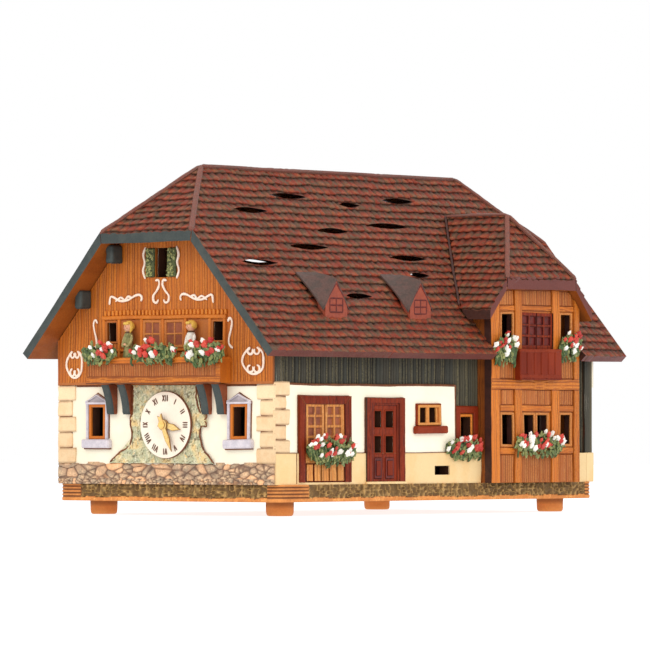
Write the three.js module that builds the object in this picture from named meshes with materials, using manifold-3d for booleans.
// A tealight house of fired clay in the form of a Black Forest cuckoo-clock house.
// Millimetres, +Z up. The origin is on the ground below the middle of the house.
// The gable with the clock faces -Y and the side with the doors and the bay faces +X.
import * as THREE from "three";
import { mergeVertices } from "three/addons/utils/BufferGeometryUtils.js";
import Module from "manifold-3d";

// Driving dimensions
const houseWidth = 124; // across the clock gable, over the plaster
const houseLength = 221.4; // along the ridge, over the plaster
const wall = 5; // thickness of a wall slab
const roofThickness = 4;
const bayRoofThickness = 3.5;
const gap = 0.3; // between two clay pieces that don't lie flat on each other
const big = 600; // longer than the whole house, for cutting tools

// Base
const footHeight = 6;
const footDiameter = 12.3;
const footInsetX = 11.2; // from the wall line to the middle of a foot
const footInsetY = 16.5;
const baseThickness = 7.4;
const baseOversize = 1.5; // of the base beyond the long walls
const baseCornerRadius = 5;
const floor = footHeight + baseThickness; // top of the base, where the house stands

// Storey heights, above the base
const stonePlinthHeight = 8.8;
const sidePlinthHeight = 13.3;
const plasterHeight = 42.9;
const plinthRelief = 0.8; // how far the plinths stand out of the plaster
const plasterRelief = 1.2; // how far the plaster stands out of the side's timber
const claddingThickness = 1.3; // of the timber gable on the front wall
const stonePlinthTop = floor + stonePlinthHeight;
const sidePlinthTop = floor + sidePlinthHeight;
const plasterTop = floor + plasterHeight;
const thresholdHeight = 1; // of the plinth strip that runs on under the doors

// Main roof
const ridgeHeight = 139.3; // above the base
const eaveHeight = 57.2; // of the roof's upper edge above the base
const sideOverhang = 10.2;
const gableOverhang = 13;
const halfHipDrop = 30.1; // from the ridge to the lower edge of the half-hip
const halfHipRun = 36.3; // from the gable edge to the end of the ridge

// Bay on the long side
const bayStart = 29.4; // from the middle of the house to the bay's near side
const bayWidth = 63.9;
const bayDepth = 6.6; // out of the plaster
const bayWall = 4;
const bayRidgeDrop = 18.2; // below the main ridge
const bayEaveDrop = 43.3; // from the bay's ridge to its eaves
const bayEaveOverhang = 5;
const bayRoofReach = 3.4; // of the bay's roof beyond its front
const bayHipDrop = 29;
const bayHipRun = 20.8;

// Worked out from the sizes above
const halfWidth = houseWidth / 2;
const halfLength = houseLength / 2;
const ridgeZ = floor + ridgeHeight;
const eaveZ = floor + eaveHeight;
const eaveX = halfWidth + sideOverhang;
const gableY = halfLength + gableOverhang;
const mainSlope = (ridgeZ - eaveZ) / eaveX;
const hipSlope = halfHipDrop / halfHipRun;
const timberX = halfWidth - plasterRelief;
const plinthX = halfWidth + plinthRelief;
const claddingY = halfLength + claddingThickness;
const bayEnd = bayStart + bayWidth;
const bayMiddle = bayStart + bayWidth / 2;
const bayX = halfWidth + bayDepth;
const bayInnerX = bayX - bayWall;
const bayRidgeZ = ridgeZ - bayRidgeDrop;
const bayEaveHalf = bayWidth / 2 + bayEaveOverhang;
const baySlope = bayEaveDrop / bayEaveHalf;
const bayRoofX = bayX + bayRoofReach;

const wasm = await Module();
wasm.setup();

const house = new THREE.Group();

const clay = {
  terracotta: new THREE.MeshStandardMaterial({ color: 0xc07a4a, roughness: 0.85 }),
  plaster: new THREE.MeshStandardMaterial({ color: 0xfbf3dc, roughness: 0.75 }),
  cream: new THREE.MeshStandardMaterial({ color: 0xf6d9a4, roughness: 0.75 }),
  stone: new THREE.MeshStandardMaterial({ color: 0xb9a58c, roughness: 0.85 }),
  orangeTimber: new THREE.MeshStandardMaterial({ color: 0xcd7a26, roughness: 0.6 }),
  darkTimber: new THREE.MeshStandardMaterial({ color: 0x474b45, roughness: 0.7 }),
  roofTile: new THREE.MeshStandardMaterial({ color: 0x8a3c30, roughness: 0.65 }),
  redWood: new THREE.MeshStandardMaterial({ color: 0x8d3520, roughness: 0.6 }),
  slate: new THREE.MeshStandardMaterial({ color: 0x4b4f4b, roughness: 0.7 }),
  foliage: new THREE.MeshStandardMaterial({ color: 0x4a6b35, roughness: 0.7 }),
  carving: new THREE.MeshStandardMaterial({ color: 0xb4b08c, roughness: 0.75 }),
  dialWhite: new THREE.MeshStandardMaterial({ color: 0xf9efdc, roughness: 0.6 }),
  handYellow: new THREE.MeshStandardMaterial({ color: 0xe6c068, roughness: 0.6 }),
  lilac: new THREE.MeshStandardMaterial({ color: 0xcfc6cc, roughness: 0.7 }),
  skin: new THREE.MeshStandardMaterial({ color: 0xe0ab80, roughness: 0.6 }),
};
const tinCup = new THREE.MeshStandardMaterial({ color: 0xc9cbcd, roughness: 0.35, metalness: 1 });
const waxWhite = new THREE.MeshStandardMaterial({ color: 0xf4efe3, roughness: 0.5 });
const wickCotton = new THREE.MeshStandardMaterial({ color: 0xddd6c4, roughness: 0.9 });

// A closed geometry as a solid that can be cut and joined
function solidOf(geometry) {
  const bare = geometry.index ? geometry.toNonIndexed() : geometry.clone();
  bare.deleteAttribute("normal");
  bare.deleteAttribute("uv");
  const merged = mergeVertices(bare, 1e-4);
  const vertProperties = merged.attributes.position.array;
  const triVerts = new Uint32Array(merged.index.array);
  return new wasm.Manifold(new wasm.Mesh({ numProp: 3, vertProperties, triVerts }));
}

function geometryOf(solid) {
  const mesh = solid.getMesh();
  const geometry = new THREE.BufferGeometry();
  geometry.setAttribute("position", new THREE.BufferAttribute(mesh.vertProperties, 3));
  geometry.setIndex(new THREE.BufferAttribute(mesh.triVerts, 1));
  geometry.computeVertexNormals();
  return geometry;
}

function addPiece(name, solid, material) {
  const mesh = new THREE.Mesh(geometryOf(solid), material);
  mesh.name = name;
  house.add(mesh);
}

function block(x0, x1, y0, y1, z0, z1) {
  const box = new THREE.BoxGeometry(x1 - x0, y1 - y0, z1 - z0);
  box.translate((x0 + x1) / 2, (y0 + y1) / 2, (z0 + z1) / 2);
  return solidOf(box);
}

// An upright round solid from a profile of [radius, height] points
function turned(profile, sides, x, y) {
  const points = profile.map(([r, z]) => new THREE.Vector2(r, z));
  const lathe = new THREE.LatheGeometry(points, sides);
  lathe.rotateX(Math.PI / 2);
  lathe.translate(x, y, 0);
  return solidOf(lathe);
}

function extrusion(outline, depth) {
  return new THREE.ExtrudeGeometry(outline, { depth, bevelEnabled: false, curveSegments: 12 });
}

// An outline in X and Z, from y0 to y1
function acrossY(outline, y0, y1) {
  const extruded = extrusion(outline, y1 - y0);
  extruded.rotateX(Math.PI / 2);
  extruded.translate(0, y1, 0);
  return solidOf(extruded);
}

// An outline in Y and Z, from x0 to x1
function acrossX(outline, x0, x1) {
  const extruded = extrusion(outline, x1 - x0);
  extruded.rotateX(Math.PI / 2);
  extruded.rotateZ(Math.PI / 2);
  extruded.translate(x0, 0, 0);
  return solidOf(extruded);
}

function outlineOf(points) {
  return new THREE.Shape(points.map(([a, b]) => new THREE.Vector2(a, b)));
}

// Planes are kept as a unit normal that points out of the roof, and a distance.
function planeThrough(nx, ny, nz, x, y, z) {
  const normal = new THREE.Vector3(nx, ny, nz).normalize();
  return { normal, distance: normal.dot(new THREE.Vector3(x, y, z)) };
}

// Everything on the inner side of a plane, as a large block
function inside(plane, depth = 0) {
  const cutter = new THREE.BoxGeometry(big, big, big);
  cutter.translate(0, 0, -big / 2);
  const turn = new THREE.Quaternion().setFromUnitVectors(new THREE.Vector3(0, 0, 1), plane.normal);
  cutter.applyQuaternion(turn);
  const shift = plane.normal.clone().multiplyScalar(plane.distance - depth);
  cutter.translate(shift.x, shift.y, shift.z);
  return solidOf(cutter);
}

// The mitre plane between two roof planes: its inner side belongs to the first one.
function mitre(own, other) {
  const normal = other.normal.clone().sub(own.normal);
  const length = normal.length();
  normal.divideScalar(length);
  return { normal, distance: (other.distance - own.distance) / length };
}

const roofRight = planeThrough(mainSlope, 0, 1, 0, 0, ridgeZ);
const roofLeft = planeThrough(-mainSlope, 0, 1, 0, 0, ridgeZ);
const hipFront = planeThrough(0, -hipSlope, 1, 0, -gableY, ridgeZ - halfHipDrop);
const hipRear = planeThrough(0, hipSlope, 1, 0, gableY, ridgeZ - halfHipDrop);
const eaveRight = planeThrough(1, 0, -mainSlope, eaveX, 0, eaveZ);
const eaveLeft = planeThrough(-1, 0, -mainSlope, -eaveX, 0, eaveZ);
const bayRoofFront = planeThrough(0, -baySlope, 1, 0, bayMiddle, bayRidgeZ);
const bayRoofRear = planeThrough(0, baySlope, 1, 0, bayMiddle, bayRidgeZ);
const bayHip = planeThrough(bayHipDrop / bayHipRun, 0, 1, bayRoofX, 0, bayRidgeZ - bayHipDrop);
const mainPlanes = [roofRight, roofLeft, hipFront, hipRear];
const bayPlanes = [bayRoofFront, bayRoofRear, bayHip];

function cutBelow(solid, planes, depth) {
  return planes.reduce((left, plane) => left.intersect(inside(plane, depth)), solid);
}

// A roof slab: a layer under its own plane, mitred against its neighbours
function roofSlab(own, neighbours, thickness) {
  const layer = inside(own).subtract(inside(own, thickness));
  return neighbours.reduce((left, other) => left.intersect(inside(mitre(own, other), gap / 2)), layer);
}

// Ventilation slots in the main roof: middle along the ridge, length, and height above the base
const slotHeight = 2.6;
const roofSlots = [
  [-41.8, 26, 126.3],
  [-74.5, 23.3, 119.1],
  [-2.3, 13.7, 123.5],
  [-27.2, 21.9, 111],
  [-51.3, 26.3, 103.2],
  [-92.2, 24.9, 95.6],
  [-40.7, 18, 81.7],
  [34.4, 23.5, 126.4],
  [14.7, 29.8, 114.4],
  [13.4, 27.4, 99.8],
  [13.1, 15.1, 92.1],
];

// A lens between two shallow arcs, in Y and Z
function slotOutline(middle, length, height) {
  const steps = 6;
  const edge = (sign) => (i) => {
    const t = (i / steps) * 2 - 1;
    return [middle + (sign * t * length) / 2, height + (sign * slotHeight * (t * t - 1)) / 2];
  };
  const count = Array.from({ length: steps }, (_, i) => i);
  return outlineOf([...count.map(edge(1)), ...count.map(edge(-1))]);
}

function cutSlots(slab, side) {
  return roofSlots.reduce((left, [middle, length, height]) => {
    const outline = slotOutline(side * middle, length, floor + height);
    const cutter = side > 0 ? acrossX(outline, 1, eaveX) : acrossX(outline, -eaveX, -1);
    return left.subtract(cutter);
  }, slab);
}

// Dormers: a small gabled box on the roof, its ridge rising slightly towards the back
const dormerMiddles = { front: -65.4, rear: -8.1 };
const dormerFaceX = 58.4;
const dormerHalfWidth = 6.6;
const dormerRoofHalfWidth = 9;
const dormerRidgeHeight = 89;
const dormerEaveHeight = 75.5;

function makeRoof() {
  const gables = block(-big / 2, big / 2, -gableY, gableY, 0, big / 2);
  const bayRoom = cutBelow(
    block(1, big / 2, bayStart - gap, bayEnd + gap, 0, big / 2),
    [bayRoofFront, bayRoofRear],
    bayRoofThickness - gap,
  );
  const right = roofSlab(roofRight, [roofLeft, hipFront, hipRear], roofThickness)
    .intersect(gables)
    .intersect(inside(eaveRight))
    .subtract(bayRoom);
  addPiece("roof_right", cutSlots(right, 1), clay.roofTile);
  const left = roofSlab(roofLeft, [roofRight, hipFront, hipRear], roofThickness)
    .intersect(gables)
    .intersect(inside(eaveLeft));
  addPiece("roof_left", cutSlots(left, -1), clay.roofTile);
  const front = roofSlab(hipFront, [roofRight, roofLeft, hipRear], roofThickness).intersect(gables);
  addPiece("half_hip_front", front, clay.roofTile);
  const rear = roofSlab(hipRear, [roofRight, roofLeft, hipFront], roofThickness).intersect(gables);
  addPiece("half_hip_rear", rear, clay.roofTile);
}

function makeDormers() {
  for (const [place, middle] of Object.entries(dormerMiddles)) {
    const outline = outlineOf([
      [middle - dormerHalfWidth, floor],
      [middle + dormerHalfWidth, floor],
      [middle + dormerHalfWidth, floor + dormerEaveHeight],
      [middle + dormerRoofHalfWidth, floor + dormerEaveHeight],
      [middle, floor + dormerRidgeHeight],
      [middle - dormerRoofHalfWidth, floor + dormerEaveHeight],
      [middle - dormerHalfWidth, floor + dormerEaveHeight],
    ]);
    const dormer = acrossX(outline, 1, dormerFaceX).subtract(inside(roofRight, -gap));
    addPiece("dormer_" + place, dormer, clay.roofTile);
  }
}

// The two small windows stand just outside the outer corbels.
const frameWidth = 12.8;
const corbelMiddles = [-30, -21, 24.5, 33.2];
const corbelWidth = 4.2;
const windowToCorbel = 0.6;
const windowOffset = corbelWidth / 2 + windowToCorbel + frameWidth / 2;
const frontWindowMiddles = {
  left: corbelMiddles[0] - windowOffset,
  right: corbelMiddles[3] + windowOffset,
};

// Openings through the front wall, heights above the base
const frontWindowOpening = { width: 7, sill: 19.3, head: 33.2 };
const gableWindow = { x0: -4.4, x1: 2, sill: 89.2, head: 102.1 };
const loftOpenings = [
  [-32.4, -26.5],
  [28, 34.2],
];
const loftSill = 61.6;
const loftHead = 69.9;

function makeFrontWall() {
  const middles = Object.values(frontWindowMiddles);
  const halfOpening = frontWindowOpening.width / 2;
  const reach = halfLength + 20;
  const cutters = middles.map((x) =>
    block(
      x - halfOpening,
      x + halfOpening,
      -reach,
      0,
      floor + frontWindowOpening.sill,
      floor + frontWindowOpening.head,
    ),
  );
  const { x0, x1, sill, head } = gableWindow;
  cutters.push(block(x0, x1, -reach, 0, floor + sill, floor + head));
  for (const [a, b] of loftOpenings) {
    cutters.push(block(a, b, -reach, 0, floor + loftSill, floor + loftHead));
  }
  const cut = (solid) => cutters.reduce((left, cutter) => left.subtract(cutter), solid);
  const slab = block(-halfWidth, halfWidth, -halfLength, -halfLength + wall, floor, ridgeZ);
  addPiece("front_wall", cut(cutBelow(slab, mainPlanes, roofThickness + gap)), clay.plaster);
  const cladding = block(-halfWidth, halfWidth, -claddingY, -halfLength, plasterTop, ridgeZ);
  const gable = cut(cutBelow(cladding, mainPlanes, roofThickness + gap));
  addPiece("front_gable_cladding", gable, clay.orangeTimber);
  const plinth = block(
    -halfWidth,
    halfWidth,
    -halfLength - plinthRelief,
    -halfLength,
    floor,
    stonePlinthTop,
  );
  addPiece("front_plinth", plinth, clay.stone);
}

// The two small windows beside the clock: frame with a low pediment, and a sill
const frameThickness = 1.4;
const frameHead = 35.5;
const pedimentRise = 3.4;
const sillWidth = 16.4;
const sillHeight = 4;
const sillDepth = 2.8;

function makeFrontWindows() {
  for (const [side, x] of Object.entries(frontWindowMiddles)) {
    const half = frameWidth / 2;
    const outline = outlineOf([
      [x - half, floor + frontWindowOpening.sill],
      [x + half, floor + frontWindowOpening.sill],
      [x + half, floor + frameHead],
      [x, floor + frameHead + pedimentRise],
      [x - half, floor + frameHead],
    ]);
    const sillTop = floor + frontWindowOpening.sill;
    const halfSill = sillWidth / 2;
    const sill = block(
      x - halfSill,
      x + halfSill,
      -halfLength - sillDepth,
      -halfLength,
      sillTop - sillHeight,
      sillTop,
    );
    const hole = block(
      x - frontWindowOpening.width / 2,
      x + frontWindowOpening.width / 2,
      -halfLength - 5,
      -halfLength + 5,
      sillTop,
      floor + frontWindowOpening.head,
    );
    const frame = acrossY(outline, -halfLength - frameThickness, -halfLength).subtract(hole);
    addPiece("front_window_" + side, frame.add(sill), clay.lilac);
  }
}

// Shutters beside the window in the peak of the gable
const shutterThickness = 1.2;
const shutterWidth = 5.4;

function makeShutters() {
  const { x0, x1, sill, head } = gableWindow;
  const places = { left: x0 - gap - shutterWidth, right: x1 + gap };
  for (const [side, x] of Object.entries(places)) {
    const shutter = block(
      x,
      x + shutterWidth,
      -claddingY - shutterThickness,
      -claddingY,
      floor + sill,
      floor + head,
    );
    addPiece("shutter_" + side, shutter, clay.foliage);
  }
}

// Side with the doors. Distances along it are from the middle of the house.
const plasterEnd = 11.7;
const frenchWindow = { y0: -95.5, y1: -61.2, head: 38.1 };
const sideDoor = { y0: -50.7, y1: -24.7, head: 37.4 };
const doorThickness = 1.4;
const doorLights = { columns: [[-45.3, -39.8], [-37.6, -31.6]], rows: [[13, 21.2], [24.1, 32.2]] };
const sideWindow = { y0: -15.9, y1: 0.7, sill: 25.2, head: 34.9 };
const sideWindowLights = { columns: [[-14.6, -8.7], [-7.7, -1.8]], lowerRail: 0.6, upperRail: 1 };
const sideSill = { y0: -17.8, y1: 4.2, height: 3.5, depth: 2.6 };
const nookWindow = { y0: 16.1, y1: 23.7, sill: 18.2, head: 29.2 };
const ventHole = { y0: -3.4, y1: 6.9, sill: 3.7, head: 7.6 };

function throughSide(y0, y1, sill, head) {
  return block(halfWidth - wall - 1, halfWidth + 10, y0, y1, floor + sill, floor + head);
}

function makeRightSide() {
  const innerX = halfWidth - wall;
  const timber = block(innerX, timberX, -halfLength + wall, bayStart - gap, floor, ridgeZ);
  const plaster = block(innerX, halfWidth, -halfLength + wall, plasterEnd, floor, plasterTop);
  let side = cutBelow(timber.add(plaster), [roofRight], roofThickness + gap);
  const lights = [];
  for (const [y0, y1] of doorLights.columns) {
    for (const [z0, z1] of doorLights.rows) {
      lights.push(throughSide(y0, y1, z0, z1));
    }
  }
  const { columns, lowerRail, upperRail } = sideWindowLights;
  for (const [y0, y1] of columns) {
    lights.push(throughSide(y0, y1, sideWindow.sill + lowerRail, sideWindow.head - upperRail));
  }
  lights.push(throughSide(nookWindow.y0, nookWindow.y1, nookWindow.sill, nookWindow.head));
  const vent = throughSide(ventHole.y0, ventHole.y1, ventHole.sill, ventHole.head);
  for (const light of lights) side = side.subtract(light);
  addPiece("right_wall", side.subtract(vent), clay.plaster);

  const doorsAboveThreshold = [frenchWindow, sideDoor].map(({ y0, y1 }) =>
    block(halfWidth, plinthX, y0, y1, floor + thresholdHeight, sidePlinthTop),
  );
  let plinth = block(halfWidth, plinthX, -halfLength, bayStart - gap, floor, sidePlinthTop);
  for (const notch of doorsAboveThreshold) plinth = plinth.subtract(notch);
  addPiece("right_plinth", plinth.subtract(vent), clay.cream);

  const rearStrip = block(innerX, timberX, bayEnd + gap, halfLength - wall, floor, ridgeZ);
  const rearPlinth = block(innerX, plinthX, bayEnd + gap, halfLength - wall, floor, sidePlinthTop);
  const rear = cutBelow(rearStrip.add(rearPlinth), [roofRight], roofThickness + gap);
  addPiece("right_wall_rear", rear, clay.darkTimber);

  const doorX = halfWidth + doorThickness;
  const doorFoot = floor + thresholdHeight;
  const leaf = ({ y0, y1, head }) => block(halfWidth, doorX, y0, y1, doorFoot, floor + head);
  addPiece("french_window", leaf(frenchWindow), clay.orangeTimber);
  let door = leaf(sideDoor);
  for (const light of lights.slice(0, 4)) door = door.subtract(light);
  addPiece("side_door", door, clay.redWood);

  const frame = block(
    halfWidth,
    halfWidth + frameThickness,
    sideWindow.y0,
    sideWindow.y1,
    floor + sideWindow.sill,
    floor + sideWindow.head,
  );
  const sill = block(
    halfWidth,
    halfWidth + sideSill.depth,
    sideSill.y0,
    sideSill.y1,
    floor + sideWindow.sill - sideSill.height,
    floor + sideWindow.sill,
  );
  let window = frame.add(sill);
  for (const light of lights.slice(4, 6)) window = window.subtract(light);
  addPiece("side_window", window, clay.redWood);
}

// The far side and the rear gable, in the same construction with small windows
const leftWindowMiddles = [-70, -25, 20, 65];
const rearWindowMiddles = [-39.3, 39.3];

function makeLeftSide() {
  const innerX = -halfWidth + wall;
  const timber = block(-timberX, innerX, -halfLength + wall, halfLength - wall, floor, ridgeZ);
  const plaster = block(-halfWidth, innerX, -halfLength + wall, halfLength - wall, floor, plasterTop);
  const plinth = block(-plinthX, innerX, -halfLength + wall, halfLength - wall, floor, sidePlinthTop);
  let side = cutBelow(timber.add(plaster).add(plinth), [roofLeft], roofThickness + gap);
  const halfOpening = frontWindowOpening.width / 2;
  const { sill, head } = frontWindowOpening;
  for (const y of leftWindowMiddles) {
    side = side.subtract(
      block(-big / 2, innerX + 1, y - halfOpening, y + halfOpening, floor + sill, floor + head),
    );
  }
  addPiece("left_wall", side, clay.plaster);
}

function makeRearWall() {
  const slab = block(-halfWidth, halfWidth, halfLength - wall, halfLength, floor, ridgeZ);
  const cladding = block(-halfWidth, halfWidth, halfLength - wall, claddingY, plasterTop, ridgeZ);
  const plinthY = halfLength + plinthRelief;
  const plinth = block(-halfWidth, halfWidth, halfLength - wall, plinthY, floor, stonePlinthTop);
  let rear = cutBelow(slab.add(cladding).add(plinth), mainPlanes, roofThickness + gap);
  const halfOpening = frontWindowOpening.width / 2;
  const cut = (x, sill, head) => {
    const y0 = halfLength - wall - 1;
    return block(x - halfOpening, x + halfOpening, y0, claddingY + 1, floor + sill, floor + head);
  };
  for (const x of rearWindowMiddles) {
    rear = rear.subtract(cut(x, frontWindowOpening.sill, frontWindowOpening.head));
  }
  for (const x of [-20, 0, 20]) rear = rear.subtract(cut(x, loftSill, loftHead));
  rear = rear.subtract(cut(0, gableWindow.sill, gableWindow.head));
  addPiece("rear_wall", rear, clay.plaster);
}

// Bay: a front, two cheeks that reach back under its own roof, and the roof's three slabs
const bayPostWidth = 8; // from the bay's near corner to its first window
const bayRearPostWidth = 6;
const bayWindowWidth = 7.6;
const bayMullion = 2.2; // between the two middle windows
const bayOuterWindows = [
  [bayStart + bayPostWidth, bayStart + bayPostWidth + bayWindowWidth],
  [bayEnd - bayRearPostWidth - bayWindowWidth, bayEnd - bayRearPostWidth],
];
const bayLowerWindows = [
  ...bayOuterWindows,
  [bayMiddle - bayMullion / 2 - bayWindowWidth, bayMiddle - bayMullion / 2],
  [bayMiddle + bayMullion / 2, bayMiddle + bayMullion / 2 + bayWindowWidth],
];
const bayLowerSill = 16.8;
const bayLowerHead = 30.4;
const bayUpperSill = 63;
const bayUpperHead = 75.2;
const bayDoorWidth = 22.7;
const bayDoorMiddle = bayMiddle + 1;
const bayDoorway = {
  y0: bayDoorMiddle - bayDoorWidth / 2,
  y1: bayDoorMiddle + bayDoorWidth / 2,
  sill: 59.6,
  head: 75.8,
};
const bayDoorThickness = 2;
const bayDoorRecess = 0.8;
const bayBoxWidth = 30;
const bayBox = {
  y0: bayMiddle - bayBoxWidth / 2,
  y1: bayMiddle + bayBoxWidth / 2,
  foot: 45.8,
  depth: 3.1,
  board: 1.1,
};
const flowerClearance = 0.6; // at each end of a cluster beside the box
const besideBox = (bayWidth - bayBoxWidth) / 2; // free wall on each side of the box
const besideBoxHalf = besideBox / 2 - flowerClearance;

function makeBay() {
  const wallTop = bayRidgeZ;
  let front = block(bayInnerX, bayX, bayStart, bayEnd, floor, wallTop);
  for (const [y0, y1] of bayLowerWindows) {
    front = front.subtract(throughSide(y0, y1, bayLowerSill, bayLowerHead));
  }
  for (const [y0, y1] of bayOuterWindows) {
    front = front.subtract(throughSide(y0, y1, bayUpperSill, bayUpperHead));
  }
  const { y0, y1, sill, head } = bayDoorway;
  front = front.subtract(throughSide(y0, y1, sill, head));
  front = cutBelow(front, bayPlanes, bayRoofThickness + gap);
  addPiece("bay_front", front, clay.orangeTimber);

  const doorFace = bayX - bayDoorRecess;
  const door = block(doorFace - bayDoorThickness, doorFace, y0, y1, floor + sill, floor + head);
  addPiece("bay_door", door, clay.redWood);

  // Each cheek runs from the base up to the bay's roof and back to the main roof's opening.
  const innerX = halfWidth - wall;
  const cheekTopX = (ridgeZ - bayRidgeZ + bayEaveDrop) / mainSlope;
  const cheekOutline = outlineOf([
    [innerX, floor],
    [bayInnerX, floor],
    [bayInnerX, bayRidgeZ - bayEaveDrop + bayEaveOverhang],
    [cheekTopX, bayRidgeZ - bayEaveDrop + bayEaveOverhang],
  ]);
  const cheeks = { front: [bayStart, bayStart + bayWall], rear: [bayEnd - bayWall, bayEnd] };
  for (const [place, [a, b]] of Object.entries(cheeks)) {
    const cheek = cutBelow(acrossY(cheekOutline, a, b), bayPlanes, bayRoofThickness + gap);
    addPiece("bay_side_" + place, cheek, clay.orangeTimber);
  }

  const reach = block(
    1,
    bayRoofX,
    bayMiddle - bayEaveHalf,
    bayMiddle + bayEaveHalf,
    floor,
    bayRidgeZ,
  );
  const onMainRoof = (solid) => solid.intersect(reach).subtract(inside(roofRight, -gap));
  const slopes = { front: bayRoofFront, rear: bayRoofRear };
  for (const [place, own] of Object.entries(slopes)) {
    const others = bayPlanes.filter((plane) => plane !== own);
    addPiece("bay_roof_" + place, onMainRoof(roofSlab(own, others, bayRoofThickness)), clay.roofTile);
  }
  const hip = roofSlab(bayHip, [bayRoofFront, bayRoofRear], bayRoofThickness);
  addPiece("bay_half_hip", onMainRoof(hip), clay.roofTile);

  // The red balcony box under the upper door, open at the top
  const boxFoot = floor + bayBox.foot;
  const boxTop = floor + sill;
  const outer = block(bayX, bayX + bayBox.depth, bayBox.y0, bayBox.y1, boxFoot, boxTop);
  const hollow = block(
    bayX - 1,
    bayX + bayBox.depth - bayBox.board,
    bayBox.y0 + bayBox.board,
    bayBox.y1 - bayBox.board,
    boxFoot + bayBox.board,
    boxTop + 1,
  );
  addPiece("bay_balcony", outer.subtract(hollow), clay.redWood);
}

// Balcony on the clock gable, its four corbels and the purlin ends under the roof
const balcony = { x0: -38.6, x1: 38.4, foot: 43.5, railTop: 54.3, depth: 7, board: 1.6, rail: 2.2 };
const railProud = 0.7;
const corbelHeight = 12.8;
const corbelDepth = 6.2;
const corbelFoot = 2.6;

function makeBalcony() {
  const foot = floor + balcony.foot;
  const top = floor + balcony.railTop;
  const frontY = -claddingY - balcony.depth;
  const outer = block(balcony.x0, balcony.x1, frontY, -claddingY, foot, top);
  const hollow = block(
    balcony.x0 + balcony.board,
    balcony.x1 - balcony.board,
    frontY + balcony.board,
    -claddingY + 1,
    foot + balcony.board,
    top + 1,
  );
  const railSolid = block(
    balcony.x0 - railProud,
    balcony.x1 + railProud,
    frontY - railProud,
    -claddingY,
    top - balcony.rail,
    top,
  );
  addPiece("balcony", outer.add(railSolid).subtract(hollow), clay.orangeTimber);

  const names = ["corbel_1", "corbel_2", "corbel_3", "corbel_4"];
  names.forEach((name, i) => {
    const corbelTop = plasterTop;
    const profile = new THREE.Shape();
    profile.moveTo(-halfLength, corbelTop);
    profile.lineTo(-halfLength, corbelTop - corbelHeight);
    profile.lineTo(-halfLength - corbelFoot, corbelTop - corbelHeight);
    profile.quadraticCurveTo(
      -halfLength - corbelFoot,
      corbelTop - corbelHeight / 3,
      -halfLength - corbelDepth,
      corbelTop,
    );
    const x = corbelMiddles[i];
    const corbel = acrossX(profile, x - corbelWidth / 2, x + corbelWidth / 2);
    addPiece(name, corbel, clay.slate);
  });
}

// Each purlin end: distance from the middle of the house, and from the roof's upper face down to its own middle
const purlinPlaces = { upper: [26, 10.13], lower: [44.4, 8.61] };
const purlinSize = { width: 4.2, height: 8, depth: 6.5 };

function makePurlinEnds() {
  for (const [level, [x, drop]] of Object.entries(purlinPlaces)) {
    const middle = ridgeZ - mainSlope * x - drop;
    const purlin = block(
      -x - purlinSize.width / 2,
      -x + purlinSize.width / 2,
      -claddingY - purlinSize.depth,
      -claddingY,
      middle - purlinSize.height / 2,
      middle + purlinSize.height / 2,
    );
    addPiece("purlin_end_" + level, cutBelow(purlin, [roofLeft], roofThickness + gap), clay.slate);
  }
}

// Clock: a carved surround, the dial, its centre pin and two hands
const dialX = 2;
const dialHeight = 25.6; // of its middle above the base
const dialRadius = 14.5;
const dialThickness = 1.4;
const surroundThickness = 1.1;
const surroundFoot = [-32, 28]; // the rockwork spreads to these places at its foot
const pinRadius = 1;
const pinHeadRadius = 1.7;
const pinClearance = 0.25;
const handThickness = 0.8;
const handGap = 0.25;
const dialZ = floor + dialHeight;
const dialFaceY = -halfLength - surroundThickness - dialThickness;

function makeClock() {
  const spread = [
    [surroundFoot[0], stonePlinthTop + gap],
    [surroundFoot[1], stonePlinthTop + gap],
    [22, 28],
    [20, 34],
    [21, 44],
    [18, plasterTop - gap],
    [-18.5, plasterTop - gap],
    [-18.5, plasterTop - corbelHeight - gap],
    [-20, plasterTop - corbelHeight - 1],
    [-19, 34],
    [-25, 28],
  ];
  const surround = acrossY(outlineOf(spread), -halfLength - surroundThickness, -halfLength);
  addPiece("dial_surround", surround, clay.carving);

  const disc = new THREE.CylinderGeometry(dialRadius, dialRadius, dialThickness, 48);
  disc.translate(dialX, dialFaceY + dialThickness / 2, dialZ);
  addPiece("clock_dial", solidOf(disc), clay.dialWhite);

  // Hands sit one in front of the other, and the pin's head keeps both on.
  const hourY = dialFaceY - handGap - handThickness;
  const minuteY = hourY - handGap - handThickness;
  const pinEndY = minuteY - handGap;
  const pin = new THREE.CylinderGeometry(pinRadius, pinRadius, dialFaceY - pinEndY, 24);
  pin.translate(dialX, (dialFaceY + pinEndY) / 2, dialZ);
  const head = new THREE.CylinderGeometry(pinHeadRadius, pinHeadRadius, handThickness, 24);
  head.translate(dialX, pinEndY - handThickness / 2, dialZ);
  addPiece("dial_pin", solidOf(pin).add(solidOf(head)), clay.handYellow);

  addPiece("hour_hand", makeHand(9.5, 3.6, 1.5, 103, hourY), clay.handYellow);
  addPiece("minute_hand", makeHand(12.6, 4.8, 1.3, 156, minuteY), clay.handYellow);
}

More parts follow.
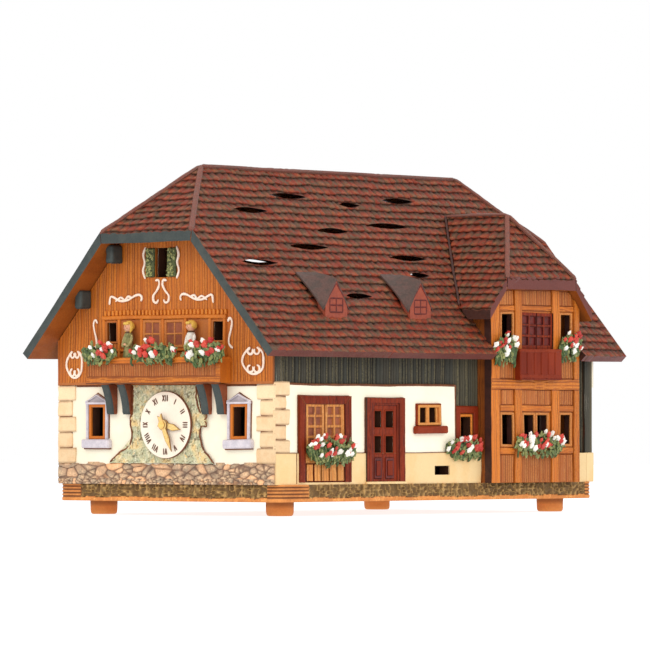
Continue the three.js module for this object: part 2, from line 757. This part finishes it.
// A flat leaf-shaped hand with a counter-tail, at an angle in degrees clockwise from twelve
function makeHand(length, tail, halfBreadth, angle, y) {
  const hub = pinRadius + pinClearance + 1.1;
  const leaf = new THREE.Shape();
  leaf.moveTo(0, length);
  leaf.lineTo(halfBreadth, length * 0.55);
  leaf.lineTo(hub * 0.45, 0);
  leaf.lineTo(halfBreadth, -tail);
  leaf.lineTo(0, -tail * 0.75);
  leaf.lineTo(-halfBreadth, -tail);
  leaf.lineTo(-hub * 0.45, 0);
  leaf.lineTo(-halfBreadth, length * 0.55);
  const blade = acrossY(leaf, 0, handThickness);
  const disc = new THREE.CylinderGeometry(hub, hub, handThickness, 32);
  disc.translate(0, handThickness / 2, 0);
  const boreRadius = pinRadius + pinClearance;
  const bore = new THREE.CylinderGeometry(boreRadius, boreRadius, handThickness * 3, 32);
  const hand = geometryOf(blade.add(solidOf(disc)).subtract(solidOf(bore)));
  hand.rotateY(THREE.MathUtils.degToRad(angle));
  hand.translate(dialX, y, dialZ);
  return solidOf(hand);
}

// Two small figures that stand on the balcony
const figureMiddles = { left: -18, right: 18.4 };
const figureHeight = 26;

function makeFigures() {
  const foot = floor + balcony.foot + balcony.board;
  const y = -claddingY - (balcony.depth - balcony.board) / 2;
  const profile = [
    [0, foot],
    [2.2, foot],
    [2.4, foot + figureHeight * 0.45],
    [2.1, foot + figureHeight * 0.68],
    [1.1, foot + figureHeight * 0.76],
    [2, foot + figureHeight * 0.83],
    [2.2, foot + figureHeight * 0.9],
    [1.5, foot + figureHeight * 0.97],
    [0, foot + figureHeight],
  ];
  for (const [side, x] of Object.entries(figureMiddles)) {
    addPiece("figure_" + side, turned(profile, 16, x, y), clay.skin);
  }
}

// Flower clusters: half of a flattened ball with its flat back to the wall.
// The wall's face, depth, middle along the wall and above the base, half width and half height.
const railFaceY = claddingY + balcony.depth + railProud;
const onGable = { side: "gable", face: railFaceY, depth: 3.6 };
const onBay = { side: "long", face: bayX, depth: 3.3 };
const flowerClusters = {
  balcony_flowers_left: { ...onGable, middle: -29.5, height: 57, half: [10, 5] },
  balcony_flowers_middle: { ...onGable, middle: 2, height: 57.3, half: [13, 5.3] },
  balcony_flowers_right: { ...onGable, middle: 30.5, height: 56.8, half: [12, 5.8] },
  french_window_flowers: {
    side: "long",
    face: halfWidth + doorThickness,
    depth: 4.6,
    middle: -76.5,
    height: 15.2,
    half: [16, 6.6],
  },
  nook_flowers: { side: "long", face: plinthX, depth: 3.8, middle: 16.2, height: 15.6, half: [12.4, 5.4] },
  bay_flowers_lower: { ...onBay, middle: bayDoorMiddle, height: 17.5, half: [17.6, 6] },
  bay_flowers_left: { ...onBay, middle: bayStart + besideBox / 2, height: 59.8, half: [besideBoxHalf, 7.2] },
  bay_flowers_right: { ...onBay, middle: bayEnd - besideBox / 2, height: 61.4, half: [besideBoxHalf, 6.8] },
};

function makeFlowers() {
  for (const [name, cluster] of Object.entries(flowerClusters)) {
    const { side, middle, height, half, depth, face } = cluster;
    const ball = new THREE.SphereGeometry(1, 14, 8);
    const z = floor + height;
    let flowers;
    if (side === "gable") {
      ball.scale(half[0], depth, half[1]);
      ball.translate(middle, -face - gap, z);
      flowers = solidOf(ball).intersect(block(-big, big, -big, -face - gap, 0, big));
    } else {
      ball.scale(depth, half[0], half[1]);
      ball.translate(face + gap, middle, z);
      flowers = solidOf(ball).intersect(block(face + gap, big, -big, big, 0, big));
    }
    addPiece(name, flowers, clay.foliage);
  }
}

// Base plate with rounded corners, feet, and the ring that keeps the tealight in place
const tealight = {
  diameter: 38.6,
  height: 16,
  skin: 0.6,
  waxHeight: 13.4,
  wickDiameter: 1.6,
  wickHeight: 7,
};
const ringClearance = 0.9;
const ringWidth = 3;
const ringHeight = 2.6;

function makeBase() {
  const halfX = halfWidth + baseOversize;
  const halfY = halfLength;
  const r = baseCornerRadius;
  const outline = new THREE.Shape();
  outline.moveTo(-halfX + r, -halfY);
  outline.lineTo(halfX - r, -halfY);
  outline.absarc(halfX - r, -halfY + r, r, -Math.PI / 2, 0);
  outline.lineTo(halfX, halfY - r);
  outline.absarc(halfX - r, halfY - r, r, 0, Math.PI / 2);
  outline.lineTo(-halfX + r, halfY);
  outline.absarc(-halfX + r, halfY - r, r, Math.PI / 2, Math.PI);
  outline.lineTo(-halfX, -halfY + r);
  outline.absarc(-halfX + r, -halfY + r, r, Math.PI, Math.PI * 1.5);
  const plate = extrusion(outline, baseThickness);
  plate.translate(0, 0, footHeight);
  addPiece("base_plate", solidOf(plate), clay.terracotta);

  const corners = {
    foot_front_left: [-1, -1],
    foot_front_right: [1, -1],
    foot_rear_left: [-1, 1],
    foot_rear_right: [1, 1],
  };
  for (const [name, [sx, sy]] of Object.entries(corners)) {
    const radius = footDiameter / 2;
    const profile = [
      [0, 0],
      [radius, 0],
      [radius, footHeight],
      [0, footHeight],
    ];
    const x = sx * (halfWidth - footInsetX);
    const y = sy * (halfLength - footInsetY);
    addPiece(name, turned(profile, 32, x, y), clay.terracotta);
  }

  const innerRadius = tealight.diameter / 2 + ringClearance;
  const ring = turned(
    [
      [innerRadius, floor],
      [innerRadius + ringWidth, floor],
      [innerRadius + ringWidth, floor + ringHeight],
      [innerRadius, floor + ringHeight],
      [innerRadius, floor],
    ],
    48,
    0,
    0,
  );
  addPiece("tealight_ring", ring, clay.terracotta);
}

function makeTealight() {
  const outer = tealight.diameter / 2;
  const inner = outer - tealight.skin;
  const waxFoot = floor + tealight.skin;
  const waxTop = floor + tealight.waxHeight;
  const cup = [
    [0, floor],
    [outer, floor],
    [outer, floor + tealight.height],
    [inner, floor + tealight.height],
    [inner, waxFoot],
    [0, waxFoot],
  ];
  addPiece("tealight_cup", turned(cup, 48, 0, 0), tinCup);
  const waxRadius = inner - gap / 2;
  const wick = tealight.wickDiameter / 2;
  const holeRadius = wick + gap / 2;
  const wax = [
    [holeRadius, waxFoot],
    [waxRadius, waxFoot],
    [waxRadius, waxTop],
    [holeRadius, waxTop],
    [holeRadius, waxFoot],
  ];
  addPiece("tealight_wax", turned(wax, 48, 0, 0), waxWhite);
  const cotton = [
    [0, waxFoot],
    [wick, waxFoot],
    [wick, waxTop + tealight.wickHeight],
    [0, waxTop + tealight.wickHeight],
  ];
  addPiece("tealight_wick", turned(cotton, 12, 0, 0), wickCotton);
}

makeBase();
makeTealight();
makeFrontWall();
makeFrontWindows();
makeShutters();
makeRightSide();
makeLeftSide();
makeRearWall();
makeBay();
makeRoof();
makeDormers();
makeBalcony();
makePurlinEnds();
makeClock();
makeFigures();
makeFlowers();

export default house;
